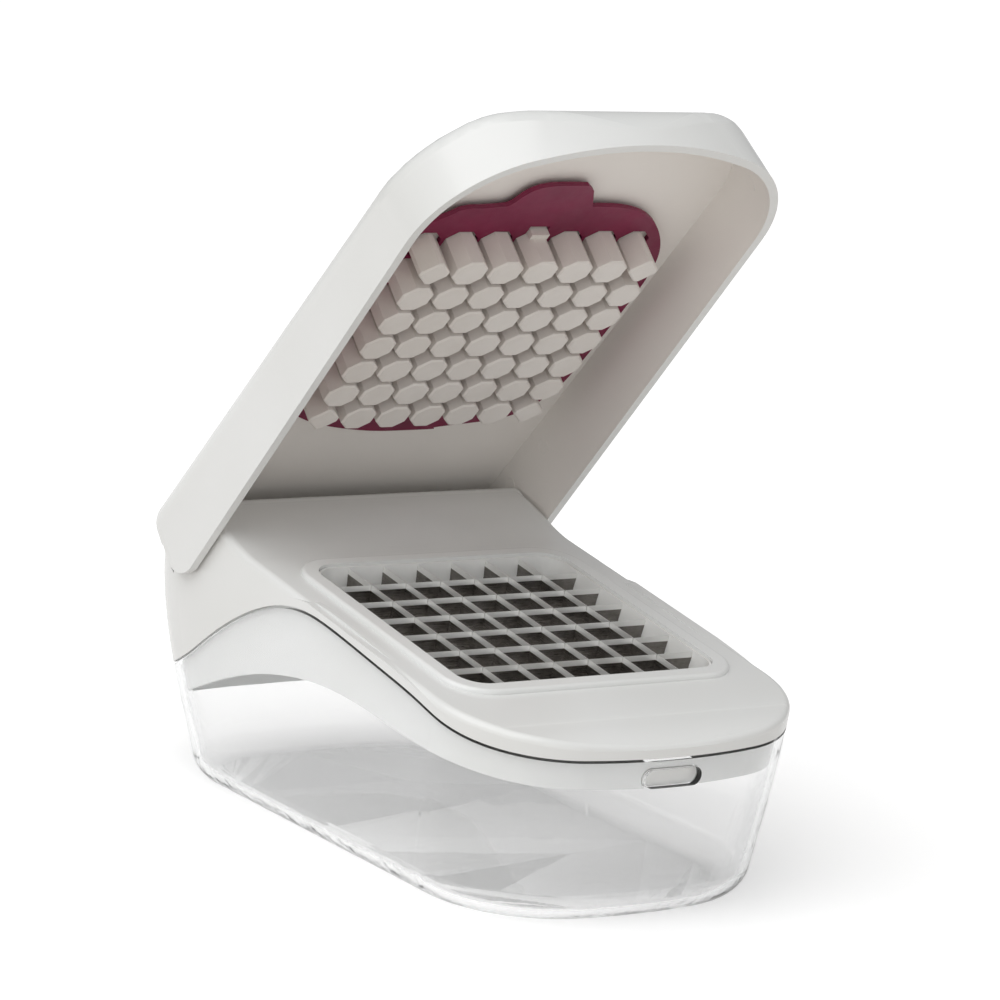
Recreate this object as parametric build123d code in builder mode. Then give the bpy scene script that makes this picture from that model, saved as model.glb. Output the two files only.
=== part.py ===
"""Push-lid vegetable dicer: a clear catch tub, a housing with a blade grid, and a hinged pusher lid.

Frame: X to the right, Y to the rear, Z up, millimetres. The origin is the middle of the footprint
on the table. The lid is built opened, as it stands when food is laid on the blades.
"""

import math
import os

from build123d import *

os.makedirs("parts", exist_ok=True)

# ---------------------------------------------------------------- driving dimensions
PITCH = 12.0  # cut size: spacing of the blades and of the posts
POSTS = 7  # posts along each side of the pusher
DECK_SLOPE = 9.0  # the deck falls towards the front, degrees
GRID_Y = -8.0  # middle of the blade grid
GRID_Z = 67.0  # height of the blade edges there
HINGE_V = 86.2  # hinge axis, measured along the deck from the grid's middle
HINGE_W = -3.0  # and across it
LID_OPEN = 54.7  # angle between the lid and the deck in the built pose, degrees

WALL = 2.2  # tub wall
SHELL = 2.2  # housing wall
NEST = 0.3  # gap between the tub wall and the skirt that nests in it
SKIRT = 1.8  # skirt thickness
RIM_GAP = 0.4  # half the seam between the tub rim and the housing

# plan outline of the body: height, half width, front, rear, front corner and rear corner radius
SECTIONS = [
    (0.0, 52.8, -85.5, 97.0, 40.0, 34.0),
    (32.0, 56.0, -89.0, 109.0, 37.0, 31.0),
    (62.0, 57.6, -91.5, 116.0, 35.0, 30.0),
    (95.0, 56.0, -91.0, 107.5, 35.0, 30.0),
]
FRONT_BOW = 146.0  # radius of the front of the plan outline
REAR_BOW = 220.0
FLOOR_Z = 2.4
BASE_R = 10.0  # rounding between the tub's side and its underside

# side views, (y, z): the wavy tub rim and the lower edge of the skirt, front to rear
RIM = [
    (-100, 47.4), (-84, 48.8), (-66, 52.0), (-46, 57.2), (-23, 61.8), (0, 66.0), (12, 67.2),
    (24, 66.2), (37, 62.4), (52, 55.2), (67, 45.8), (80, 37.2), (94, 31.6), (120, 29.0),
]
SKIRT_EDGE = [
    (-100, 38.6), (-80, 40.6), (-60, 43.4), (-39, 45.0), (-18, 47.4), (0, 48.2), (17, 47.0),
    (40, 42.3), (64, 34.0), (84, 25.8), (120, 21.0),
]

LATCH_Z = 42.4  # oval hole in the front of the tub
LATCH_LEN = 19.0
LATCH_HT = 5.4

NOSE_Y = -44.0  # where the deck's slope begins to roll over to the front
HUMP = (100.5, 68.6)  # top of the hump behind the hinge, side view
SHOULDER = 3.0  # the shell is thickened this far above the seam, where the skirt joins it
OPENING = 43.6  # half size of the opening in the deck
OPENING_R = 8.0
RAISED = 1.4  # height of the soft rim round the opening
RAISED_W = 5.0
RAISED_R = 1.2

BLADE_T = 0.6
BLADE_H = 8.0
BLADE_FIT = 0.06  # play of a blade in its slots
BLADE_END = 42.6  # half length of a blade
FUNNEL_TOP = 42.7  # half size of the frame's mouth
FUNNEL_LOW = 42.0  # and of the throat under it
FUNNEL_H = 4.6
FRAME_H = 10.5
FRAME_FIT = 0.2
FLANGE = 47.8
FLANGE_TOP = -3.1
RETAINER_T = 2.0
RETAINER = (49.5, 56.5)  # half width and half length
BLADE_BEVEL = 1.6  # depth of the ground bevel
BLADE_EDGE = 0.12  # width of the cutting edge
SCREW_X = 44.0
SCREW_V = 52.0
SCREW_R = 1.3
SCREW_HEAD = 1.8
SCREW_HEAD_R = 2.8
SCREW_BITE = 7.0  # depth of the thread in its boss
SCREW_CROSS = (3.2, 0.6, 0.9)  # length, width and depth of the cross recess
BOSS_R = 4.0

# side view of the housing's hollow, (y, z), front to rear
DECK_SKIN = 2.8
HOUSING_INSIDE_FRONT = [(-120.0, 10.0), (-120.0, 46.5), (-86.0, 51.2)]
HOUSING_INSIDE_DECK = (-62.0, 66.0)  # between these it follows the deck
HOUSING_INSIDE_REAR = [
    (72.0, 66.0), (84.0, 58.6), (96.0, 61.0), (103.0, 61.0), (120.0, 48.0), (120.0, 10.0),
]

BARREL_R = 7.2  # hinge barrel across the rear of the deck
RISE_V = 54.0  # behind this the deck rises to meet the barrel
RISE = 4.1
TROUGH_R = 18.6  # hollow that the rear wall of the lid swings through
PIN_R = 2.0
PIN_INNER = 48.0
PIN_OUTER = 59.6
RECESS_X = 56.0  # flat seat of the hinge washers
WASHER_R = 4.6
WASHER_T = 1.5

TONGUE_GAP = 0.35
TONGUE_INSET = 2.6  # depth of the tongue behind the outer form
TONGUE_T = 1.6
NOSE_FIT = 0.5  # gap between the catch's nose and the oval hole
FOLD_R = 2.0

LID_HALF = 61.0  # outer half width of the lid at its rim
LID_FRONT = -101.5
LID_REAR = 110.0
LID_WALL = 2.6
LID_DRAFT = 2.0
LID_TOP_FRONT = 17.0  # height of the lid's top over the deck plane near its free end
LID_TOP_SLOPE = -1.45  # the top falls towards the hinge, degrees
LID_NOSE_R = 20.0  # rounding of the free end
LID_SKIN = 2.6  # thickness of the lid's top
LID_EDGE_R = 7.0
LID_CORNER = 30.0  # at the rim; the top's corners are rounder
LID_TOP_CORNER = 50.0
LID_REAR_CORNER = 9.0
LID_BOW = 112.0
LID_REAR_BOW = 400.0
LID_RIM_FRONT = -4.0  # the rim hangs lower towards the hinge
LID_RIM_SLOPE = -0.0573
# side view of the lid's hinge end, (along the lid, over the deck plane)
LID_EAR_FROM = 88.0  # the rim curls up round the hinge behind this
LID_EAR = [(96.6, -12.2), (100.2, -4.0)]
LID_HEEL = [(100.2, 0.0), (103.6, 2.0), (108.6, 9.5), (120.0, 9.5)]
LID_INSIDE_TO = 102.0  # rear end of the flat ceiling
LID_INSIDE_HEEL = [(105.0, 8.0), (100.6, 1.2), (100.6, -40.0), (-120.0, -40.0)]
EAR_GAP_H = 40.0
EAR_GAP = (85.0, 117.0)  # the rear wall is open between the ears here, under the deck plane

POST_W = 10.3
POST_CHAMFER = 3.1
POST_EASE = 0.5
POST_RAW = 20.0  # length of a post before it is cut off at the ceiling
PLATE_T = 1.6
INSERT_T = 1.5
INSERT_GAP = 0.35
NUB_W = 6.0  # catch on the middle post of the free end, which holds the insert
# right half of the insert's outline from its tab to the hinge end
INSERT_RIGHT = [
    (13.0, -52.8), (24.0, -52.2), (33.0, -49.4), (40.0, -44.4), (45.0, -38.5), (49.5, -30.0),
    (51.8, -18.0), (52.2, 0.0), (51.6, 24.0), (49.0, 39.5), (42.0, 48.8), (30.0, 52.6), (15.0, 54.8),
    (0.0, 55.6),
]
# left half, from the hinge end back to the tab
INSERT_LEFT = [
    (0.0, 55.6), (-18.0, 53.4), (-32.0, 49.0), (-40.5, 43.2), (-45.5, 34.0), (-49.5, 20.0),
    (-51.8, 0.0), (-51.8, -18.0), (-49.5, -30.0), (-45.0, -38.5), (-40.0, -44.4), (-33.0, -49.4),
    (-24.0, -52.2),
]
INSERT_TAB = [(-17.0, -53.0), (-13.6, -57.0), (-9.5, -61.0), (-3.0, -62.3), (6.5, -62.3)]

# ---------------------------------------------------------------- reference planes
_s = math.radians(DECK_SLOPE)
DECK = Plane(origin=(0, GRID_Y, GRID_Z), x_dir=(1, 0, 0), z_dir=(0, -math.sin(_s), math.cos(_s)))
HINGE = DECK.from_local_coords(Vector(0, HINGE_V, HINGE_W))
_t = math.radians(DECK_SLOPE - LID_OPEN)
_opened = Plane(origin=HINGE, x_dir=(1, 0, 0), z_dir=(0, -math.sin(_t), math.cos(_t)))
LID = Plane(
    origin=_opened.from_local_coords(Vector(0, -HINGE_V, -HINGE_W)),
    x_dir=(1, 0, 0),
    z_dir=_opened.z_dir,
)
FAR = 140.0  # reach of a cutting profile beyond the object
FRONT_CUT = 60.0  # plane that cuts through the front wall start from
FRONT_REACH = 50.0
ACROSS = 80.0  # half length of a form drawn in side view


def deck_z(y):
    """Height of the deck plane at a distance y behind the origin."""
    return GRID_Z + (y - GRID_Y) * math.tan(_s)


# ---------------------------------------------------------------- outlines and forms
def bowed_outline(half, front, rear, front_r, rear_r, front_bow, rear_bow):
    """Plan outline with straight sides and bowed ends, all corners tangent. Draws one closed line."""
    cx = half - front_r
    reach = front_bow - front_r
    front_cy = front + front_bow - math.sqrt(reach**2 - cx**2)
    front_t = (front_bow * cx / reach, front + front_bow - front_bow * math.sqrt(1 - (cx / reach) ** 2))
    a = math.atan2(-math.sqrt(1 - (cx / reach) ** 2), cx / reach) / 2
    front_m = (cx + front_r * math.cos(a), front_cy + front_r * math.sin(a))
    rx = half - rear_r
    far = rear_bow - rear_r
    rear_cy = rear - rear_bow + math.sqrt(far**2 - rx**2)
    rear_t = (rear_bow * rx / far, rear - rear_bow + rear_bow * math.sqrt(1 - (rx / far) ** 2))
    b = math.atan2(math.sqrt(1 - (rx / far) ** 2), rx / far) / 2
    rear_m = (rx + rear_r * math.cos(b), rear_cy + rear_r * math.sin(b))
    with BuildLine() as outline:
        ThreePointArc((-front_t[0], front_t[1]), (0, front), front_t)
        ThreePointArc(front_t, front_m, (half, front_cy))
        Line((half, front_cy), (half, rear_cy))
        ThreePointArc((half, rear_cy), rear_m, rear_t)
        ThreePointArc(rear_t, (0, rear), (-rear_t[0], rear_t[1]))
        ThreePointArc((-rear_t[0], rear_t[1]), (-rear_m[0], rear_m[1]), (-half, rear_cy))
        Line((-half, rear_cy), (-half, front_cy))
        ThreePointArc((-half, front_cy), (-front_m[0], front_m[1]), (-front_t[0], front_t[1]))
    make_face(outline.edges())


def body_form(inset):
    """The outer form of tub and housing together, moved inwards by inset."""
    with BuildPart() as form:
        for z, half, front, rear, front_r, rear_r in SECTIONS:
            with BuildSketch(Plane.XY.offset(z)):
                bowed_outline(
                    half - inset,
                    front + inset,
                    rear - inset,
                    front_r - inset,
                    rear_r - inset,
                    FRONT_BOW - inset,
                    REAR_BOW - inset,
                )
        loft()
    return form.part


def side_band(low, high):
    """A slab across the whole width between two side-view curves."""
    with BuildPart() as band:
        with BuildSketch(Plane.YZ):
            with BuildLine():
                Spline(low)
                Line(low[-1], high[-1])
                Spline(high)
                Line(low[0], high[0])
            make_face()
        extrude(amount=ACROSS, both=True)
    return band.part


def raised(curve, dz):
    """The same side-view curve, moved up by dz."""
    return [(y, z + dz) for y, z in curve]


def level(curve, z):
    """A level line over the same stretch as a side-view curve."""
    return [(y, z) for y, _ in curve]


def rounded_square(half, radius, mode=Mode.ADD):
    """A square with rounded corners in the current sketch."""
    RectangleRounded(2 * half, 2 * half, radius, mode=mode)


def outer_edges(faces):
    """Edges round the outside of some faces, without the seams where two of them meet."""
    edges = faces.edges()
    return edges.filter_by(lambda e: sum(e.is_same(other) for f in faces for other in f.edges()) == 1)


form_outer = body_form(0)
form_tub = body_form(WALL)
form_skirt = body_form(WALL + NEST)
form_hollow = body_form(WALL + NEST + SKIRT)
form_shell = body_form(SHELL)


def in_deck(shape):
    """Middle of an edge or a face in deck coordinates."""
    return DECK.to_local_coords(shape.center())


def in_lid(shape):
    """Middle of an edge or a face in lid coordinates."""
    return LID.to_local_coords(shape.center())


# ---------------------------------------------------------------- clear tub
with BuildPart() as tub_space:
    add(form_tub)
    split(bisect_by=Plane.XY.offset(FLOOR_Z), keep=Keep.TOP)
    fillet(tub_space.edges().group_by(Axis.Z)[0], BASE_R - WALL)

with BuildPart() as container:
    add(form_outer)
    fillet(container.edges().group_by(Axis.Z)[0], BASE_R)
    add(tub_space.part, mode=Mode.SUBTRACT)
    add(side_band(raised(RIM, -RIM_GAP), level(RIM, 120)), mode=Mode.SUBTRACT)
    with BuildSketch(Plane.XZ.offset(FRONT_CUT)):
        with Locations((0, LATCH_Z)):
            SlotOverall(LATCH_LEN, LATCH_HT)
    extrude(amount=FRONT_REACH, mode=Mode.SUBTRACT)

# ---------------------------------------------------------------- housing
hinge_y, hinge_z = HINGE.Y, HINGE.Z


def around_hinge(radius, degrees):
    """Side-view point on a circle round the hinge axis, measured from straight back."""
    a = math.radians(degrees)
    return (hinge_y + radius * math.cos(a), hinge_z + radius * math.sin(a))


def on_deck(v, w):
    """Side-view point from its place along the deck and over it."""
    place = DECK.from_local_coords(Vector(0, v, w))
    return (place.Y, place.Z)


NOSE = [(-96.0, 40.0), (-91.4, 51.0), (-77.5, 55.6), (NOSE_Y, deck_z(NOSE_Y))]
slope = (math.cos(_s), math.sin(_s))

# the deck: a straight slope that rolls over at the front and rises to the hinge barrel at the rear
with BuildPart() as deck_side:
    with BuildSketch(Plane.YZ):
        with BuildLine():
            Spline(NOSE, tangents=[(0.1, 1), slope])
            Line(NOSE[-1], on_deck(RISE_V, 0))
            Spline(on_deck(RISE_V, 0), on_deck(HINGE_V - 2, RISE), tangents=[slope, slope])
            Polyline(on_deck(HINGE_V - 2, RISE), on_deck(FAR, RISE), (FAR, 10), (NOSE[0][0], 10), NOSE[0])
        make_face()
    extrude(amount=ACROSS, both=True)

# what is cut away behind the hinge: a round trough, and the top of the hump behind it
with BuildPart() as rear_cut:
    with BuildSketch(Plane.YZ):
        with BuildLine():
            Polyline((hinge_y, FAR), (hinge_y, hinge_z), around_hinge(TROUGH_R, -60))
            ThreePointArc(
                around_hinge(TROUGH_R, -60), around_hinge(TROUGH_R, -48), around_hinge(TROUGH_R, -35)
            )
            Line(around_hinge(TROUGH_R, -35), HUMP)
            Spline(HUMP, (110.3, 66.0), (121.5, 54.0), tangents=[(1, -0.05), (0.2, -1)])
            Polyline((121.5, 54.0), (FAR, 54), (FAR, FAR), (hinge_y, FAR))
        make_face()
    extrude(amount=ACROSS, both=True)

with BuildPart() as barrel:
    with BuildSketch(Plane.YZ):
        with Locations((hinge_y, hinge_z)):
            Circle(BARREL_R)
    extrude(amount=ACROSS, both=True)
    add(form_outer, mode=Mode.INTERSECT)

with BuildPart() as housing_space:
    with BuildSketch(Plane.YZ):
        with BuildLine():
            Polyline(
                *HOUSING_INSIDE_FRONT,
                *[(y, deck_z(y) - DECK_SKIN) for y in HOUSING_INSIDE_DECK],
                *HOUSING_INSIDE_REAR,
                close=True,
            )
        make_face()
    extrude(amount=ACROSS, both=True)
    add(form_shell, mode=Mode.INTERSECT)

with BuildPart() as skirt:
    add(form_skirt)
    add(form_hollow, mode=Mode.SUBTRACT)
    add(side_band(SKIRT_EDGE, raised(RIM, SHOULDER)), mode=Mode.INTERSECT)
    with BuildSketch(Plane.XZ.offset(FRONT_CUT)):
        with Locations((0, LATCH_Z)):
            SlotOverall(LATCH_LEN + 2 * TONGUE_GAP, LATCH_HT + 2 * TONGUE_GAP)
    extrude(amount=FRONT_REACH, mode=Mode.SUBTRACT)

with BuildPart() as shoulder:
    add(form_outer)
    add(form_hollow, mode=Mode.SUBTRACT)
    add(side_band(raised(RIM, RIM_GAP), raised(RIM, SHOULDER)), mode=Mode.INTERSECT)
    add(deck_side.part, mode=Mode.INTERSECT)

with BuildPart() as raised_rim:
    with BuildSketch(DECK.offset(-1.5)):
        rounded_square(OPENING + RAISED_W, OPENING_R + RAISED_W)
    extrude(amount=1.5 + RAISED)
    fillet(raised_rim.faces().filter_by(lambda f: in_deck(f).Z > RAISED - 0.01).edges(), RAISED_R)

with BuildPart() as housing:
    add(form_outer)
    add(deck_side.part, mode=Mode.INTERSECT)
    top = housing.faces().filter_by(lambda f: f.normal_at().Z > 0.8)
    fillet(outer_edges(top), FOLD_R)
    add(rear_cut.part, mode=Mode.SUBTRACT)
    add(barrel.part)
    add(side_band(level(RIM, -5), raised(RIM, RIM_GAP)), mode=Mode.SUBTRACT)
    add(housing_space.part, mode=Mode.SUBTRACT)
    add(shoulder.part)
    add(skirt.part)
    add(raised_rim.part)
    with BuildSketch(DECK.offset(-FRAME_H)):
        with GridLocations(2 * SCREW_X, 2 * SCREW_V, 2, 2):
            Circle(BOSS_R)
    extrude(amount=FRAME_H - 1.5)
    with BuildSketch(DECK.offset(-FRAME_H)):
        with GridLocations(2 * SCREW_X, 2 * SCREW_V, 2, 2):
            Circle(SCREW_R + 0.05)
    extrude(amount=SCREW_BITE + 0.6, mode=Mode.SUBTRACT)
    with BuildSketch(DECK.offset(-FRAME_H - 2)):
        rounded_square(OPENING, OPENING_R)
    extrude(amount=20, mode=Mode.SUBTRACT)
    for side in (-1, 1):
        with BuildSketch(Plane(origin=(side * (PIN_INNER - 0.5), HINGE.Y, HINGE.Z), z_dir=(side, 0, 0))):
            Circle(PIN_R + 0.05)
        extrude(amount=30, mode=Mode.SUBTRACT)
        with BuildSketch(Plane(origin=(side * RECESS_X, HINGE.Y, HINGE.Z), z_dir=(side, 0, 0))):
            Circle(WASHER_R + 0.3)
        extrude(amount=30, mode=Mode.SUBTRACT)

# the catch tongue stands just behind the tub wall and fills the oval hole in it
form_catch_face = body_form(WALL + 0.2)
form_catch_back = body_form(TONGUE_INSET)
form_catch_rear = body_form(TONGUE_INSET + TONGUE_T)
with BuildPart() as catch_nose:
    with BuildSketch(Plane.XZ.offset(FRONT_CUT)):
        with Locations((0, LATCH_Z)):
            SlotOverall(LATCH_LEN - 2 * NOSE_FIT, LATCH_HT - 2 * NOSE_FIT)
    extrude(amount=FRONT_REACH)
    add(form_catch_face, mode=Mode.INTERSECT)
    add(form_catch_rear, mode=Mode.SUBTRACT)
with BuildPart() as catch_tongue:
    with BuildSketch(Plane.XZ.offset(FRONT_CUT)):
        with Locations((0, LATCH_Z)):
            SlotOverall(LATCH_LEN, LATCH_HT)
    extrude(amount=FRONT_REACH)
    add(form_catch_back, mode=Mode.INTERSECT)
    add(form_catch_rear, mode=Mode.SUBTRACT)
    add(catch_nose.part)

# ---------------------------------------------------------------- blade cassette
lines = [PITCH * (i - (POSTS - 2) / 2) for i in range(POSTS - 1)]

with BuildPart() as blade_frame:
    with BuildSketch(DECK.offset(-FRAME_H)):
        rounded_square(FLANGE, OPENING_R + 1)
    extrude(amount=FRAME_H + FLANGE_TOP)
    with BuildSketch(DECK.offset(-FRAME_H)):
        rounded_square(OPENING - FRAME_FIT, OPENING_R - FRAME_FIT)
    extrude(amount=FRAME_H + 0.5)
    with BuildSketch(DECK.offset(0.5)):
        rounded_square(FUNNEL_TOP, OPENING_R - 1)
    with BuildSketch(DECK.offset(-FUNNEL_H)):
        rounded_square(FUNNEL_LOW, OPENING_R - 3)
    loft(mode=Mode.SUBTRACT)
    with BuildSketch(DECK.offset(-FRAME_H)):
        rounded_square(FUNNEL_LOW, OPENING_R - 3)
    extrude(amount=FRAME_H - FUNNEL_H, mode=Mode.SUBTRACT)
    slot = BLADE_T + BLADE_FIT
    with BuildSketch(DECK.offset(-BLADE_H - BLADE_FIT / 2)):
        with Locations(*[(x, 0) for x in lines]):
            Rectangle(slot, 2 * BLADE_END + BLADE_FIT)
        with Locations(*[(0, v) for v in lines]):
            Rectangle(2 * BLADE_END + BLADE_FIT, slot)
    extrude(amount=BLADE_H + 2, mode=Mode.SUBTRACT)


def blade(across, halved_from_top):
    """One blade standing along the local Y of a deck plane, halved where the others cross it."""
    turned = Plane(origin=DECK.origin, x_dir=across, z_dir=DECK.z_dir)
    end = Plane(origin=DECK.origin - turned.y_dir * BLADE_END, x_dir=across, z_dir=turned.y_dir)
    up = -1 if end.y_dir.dot(DECK.z_dir) < 0 else 1
    with BuildPart() as sheet:
        with BuildSketch(end):
            with BuildLine():
                Polyline(
                    (-BLADE_T / 2, -up * BLADE_H),
                    (-BLADE_T / 2, -up * BLADE_BEVEL),
                    (-BLADE_EDGE / 2, 0),
                    (BLADE_EDGE / 2, 0),
                    (BLADE_T / 2, -up * BLADE_BEVEL),
                    (BLADE_T / 2, -up * BLADE_H),
                    (-BLADE_T / 2, -up * BLADE_H),
                )
            make_face()
        extrude(amount=2 * BLADE_END)
        low = -BLADE_H / 2 if halved_from_top else -BLADE_H - 1
        with BuildSketch(turned.offset(low)):
            with Locations(*[(0, v) for v in lines]):
                Rectangle(3, BLADE_T + BLADE_FIT)
        extrude(amount=BLADE_H / 2 + 1, mode=Mode.SUBTRACT)
    return sheet.part


long_sheet = blade((1, 0, 0), False)
cross_sheet = blade(DECK.y_dir, True)
blades = {}
for i, at in enumerate(lines):
    blades[f"long_blade_{i + 1}"] = long_sheet.moved(Location(Vector(at, 0, 0)))
    blades[f"cross_blade_{i + 1}"] = cross_sheet.moved(Location(DECK.y_dir * at))

with BuildPart() as blade_retainer:
    with BuildSketch(DECK.offset(-FRAME_H - RETAINER_T)):
        RectangleRounded(2 * RETAINER[0], 2 * RETAINER[1], 7)
        rounded_square(FUNNEL_LOW + 1, OPENING_R - 2, mode=Mode.SUBTRACT)
        with GridLocations(2 * SCREW_X, 2 * SCREW_V, 2, 2):
            Circle(SCREW_R + 0.4, mode=Mode.SUBTRACT)
    extrude(amount=RETAINER_T)

with BuildPart() as retainer_screws:
    with BuildSketch(DECK.offset(-FRAME_H - RETAINER_T - SCREW_HEAD)):
        with GridLocations(2 * SCREW_X, 2 * SCREW_V, 2, 2):
            Circle(SCREW_HEAD_R)
    extrude(amount=SCREW_HEAD)
    with BuildSketch(DECK.offset(-FRAME_H - RETAINER_T - SCREW_HEAD)):
        with GridLocations(2 * SCREW_X, 2 * SCREW_V, 2, 2):
            Circle(SCREW_R)
    extrude(amount=SCREW_HEAD + RETAINER_T + SCREW_BITE)
    with BuildSketch(DECK.offset(-FRAME_H - RETAINER_T - SCREW_HEAD)):
        with GridLocations(2 * SCREW_X, 2 * SCREW_V, 2, 2):
            Rectangle(SCREW_CROSS[0], SCREW_CROSS[1])
            Rectangle(SCREW_CROSS[1], SCREW_CROSS[0])
    extrude(amount=SCREW_CROSS[2], mode=Mode.SUBTRACT)

# ---------------------------------------------------------------- hinge
hinge_parts = {}
for side, name in ((-1, "left"), (1, "right")):
    with BuildPart() as hinge_pin:
        with BuildSketch(Plane(origin=(side * PIN_INNER, HINGE.Y, HINGE.Z), z_dir=(side, 0, 0))):
            Circle(PIN_R)
        extrude(amount=PIN_OUTER - PIN_INNER)
        chamfer(hinge_pin.edges(), 0.3)
    hinge_parts[f"hinge_pin_{name}"] = hinge_pin.part
    with BuildPart() as hinge_washer:
        with BuildSketch(Plane(origin=(side * (RECESS_X + 0.15), HINGE.Y, HINGE.Z), z_dir=(side, 0, 0))):
            Circle(WASHER_R)
            Circle(PIN_R + 0.1, mode=Mode.SUBTRACT)
        extrude(amount=WASHER_T)
    hinge_parts[f"hinge_washer_{name}"] = hinge_washer.part


# ---------------------------------------------------------------- lid
def lid_form(inset):
    """The lid's outline with its draft, moved inwards by inset, open beyond its rim and its top."""
    with BuildPart() as form:
        for z, corner in ((-24.0, LID_CORNER), (24.0, LID_TOP_CORNER)):
            lean = math.tan(math.radians(LID_DRAFT)) * (z + 10.0) + inset
            with BuildSketch(LID.offset(z)):
                bowed_outline(
                    LID_HALF - lean,
                    LID_FRONT + lean,
                    LID_REAR - lean,
                    corner - lean,
                    LID_REAR_CORNER - lean,
                    LID_BOW - lean,
                    LID_REAR_BOW - lean,
                )
        loft(ruled=True)
    return form.part


def lid_rim(y):
    """Height of the lid's rim over the deck plane at a distance y along the lid."""
    return LID_RIM_FRONT + LID_RIM_SLOPE * (y - LID_FRONT)


def lid_top(y):
    """Height of the lid's top over the deck plane at a distance y along the lid."""
    return LID_TOP_FRONT + math.tan(math.radians(LID_TOP_SLOPE)) * (y + 60.0)


LID_SIDE = Plane(origin=LID.origin, x_dir=LID.y_dir, z_dir=(1, 0, 0))  # side view of the lid

nose_top = LID_FRONT + LID_NOSE_R
nose_low = lid_top(nose_top) - LID_NOSE_R + 1.0
with BuildPart() as lid_side:
    with BuildSketch(LID_SIDE):
        with BuildLine():
            Line((-FAR, lid_rim(-FAR)), (LID_EAR_FROM, lid_rim(LID_EAR_FROM)))
            ThreePointArc((LID_EAR_FROM, lid_rim(LID_EAR_FROM)), *LID_EAR)
            Polyline(
                LID_EAR[-1],
                *LID_HEEL,
                (LID_HEEL[-1][0], lid_top(LID_HEEL[-1][0])),
                (nose_top, lid_top(nose_top)),
            )
            ThreePointArc(
                (nose_top, lid_top(nose_top)),
                (
                    nose_top - LID_NOSE_R * math.sin(math.radians(46)),
                    lid_top(nose_top) - LID_NOSE_R * (1 - math.cos(math.radians(46))),
                ),
                (LID_FRONT + 0.05, nose_low),
            )
            Polyline((LID_FRONT + 0.05, nose_low), (-FAR, nose_low), (-FAR, lid_rim(-FAR)))
        make_face()
    extrude(amount=ACROSS, both=True)

inner_r = LID_NOSE_R - LID_SKIN
with BuildPart() as lid_space:
    with BuildSketch(LID_SIDE):
        with BuildLine():
            Polyline(
                (nose_top, lid_top(nose_top) - LID_SKIN),
                (LID_INSIDE_TO, lid_top(LID_INSIDE_TO) - LID_SKIN),
                *LID_INSIDE_HEEL,
                (LID_INSIDE_HEEL[-1][0], lid_top(nose_top) - LID_NOSE_R),
                (nose_top - inner_r, lid_top(nose_top) - LID_NOSE_R),
            )
            ThreePointArc(
                (nose_top - inner_r, lid_top(nose_top) - LID_NOSE_R),
                (
                    nose_top - inner_r * math.sin(math.radians(45)),
                    lid_top(nose_top) - LID_NOSE_R + inner_r * math.cos(math.radians(45)),
                ),
                (nose_top, lid_top(nose_top) - LID_SKIN),
            )
        make_face()
    extrude(amount=ACROSS, both=True)
    add(lid_form(LID_WALL), mode=Mode.INTERSECT)

with BuildPart() as lid_shell:
    add(lid_form(0))
    add(lid_side.part, mode=Mode.INTERSECT)
    top = lid_shell.faces().filter_by(lambda f: f.normal_at().dot(LID.z_dir) > 0.3)
    fillet(outer_edges(top).filter_by(lambda e: in_lid(e).Z > 3), LID_EDGE_R)
    add(lid_space.part, mode=Mode.SUBTRACT)
    with BuildSketch(LID):
        with Locations((0, sum(EAR_GAP) / 2)):
            Rectangle(2 * (LID_HALF - LID_WALL + 0.1), EAR_GAP[1] - EAR_GAP[0])
    extrude(amount=-EAR_GAP_H, mode=Mode.SUBTRACT)
    for side in (-1, 1):
        with BuildSketch(Plane(origin=(side * (PIN_INNER - 2), HINGE.Y, HINGE.Z), z_dir=(side, 0, 0))):
            Circle(PIN_R + 0.02)
        extrude(amount=PIN_OUTER - PIN_INNER + 2.05, mode=Mode.SUBTRACT)

# ---------------------------------------------------------------- pusher and cleaning insert
CEILING = Plane(
    origin=LID.from_local_coords(Vector(0, 0, lid_top(0) - LID_SKIN)),
    x_dir=(1, 0, 0),
    z_dir=LID.from_local_coords(
        Vector(0, math.sin(math.radians(-LID_TOP_SLOPE)), math.cos(math.radians(LID_TOP_SLOPE)))
    ) - LID.origin,
)


def post_outline(width, cut, mode=Mode.ADD):
    """A square with its corners cut off, in the current sketch."""
    half = width / 2
    Polygon(
        (half - cut, -half), (half, cut - half), (half, half - cut), (half - cut, half),
        (cut - half, half), (-half, half - cut), (-half, cut - half), (cut - half, -half),
        align=None,
        mode=mode,
    )


rows = [PITCH * (i - (POSTS - 1) / 2) for i in range(POSTS)]
corner_at = rows[-1]
spots = [(x, y) for x in rows for y in rows]
corner_spots = [(x, y) for x, y in spots if abs(x) == corner_at and abs(y) == corner_at]
plain_spots = [p for p in spots if p not in corner_spots]


def posts(at, width, cut):
    """Posts standing from the tips up through the ceiling plane, with eased tips."""
    with BuildPart() as group:
        with BuildSketch(LID):
            post_outline(width, cut)
        extrude(amount=POST_RAW)
        chamfer(group.edges().group_by(lambda e: in_lid(e).Z)[0], POST_EASE)
    return [group.part.moved(Location(LID.x_dir * x + LID.y_dir * y)) for x, y in at]


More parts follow.
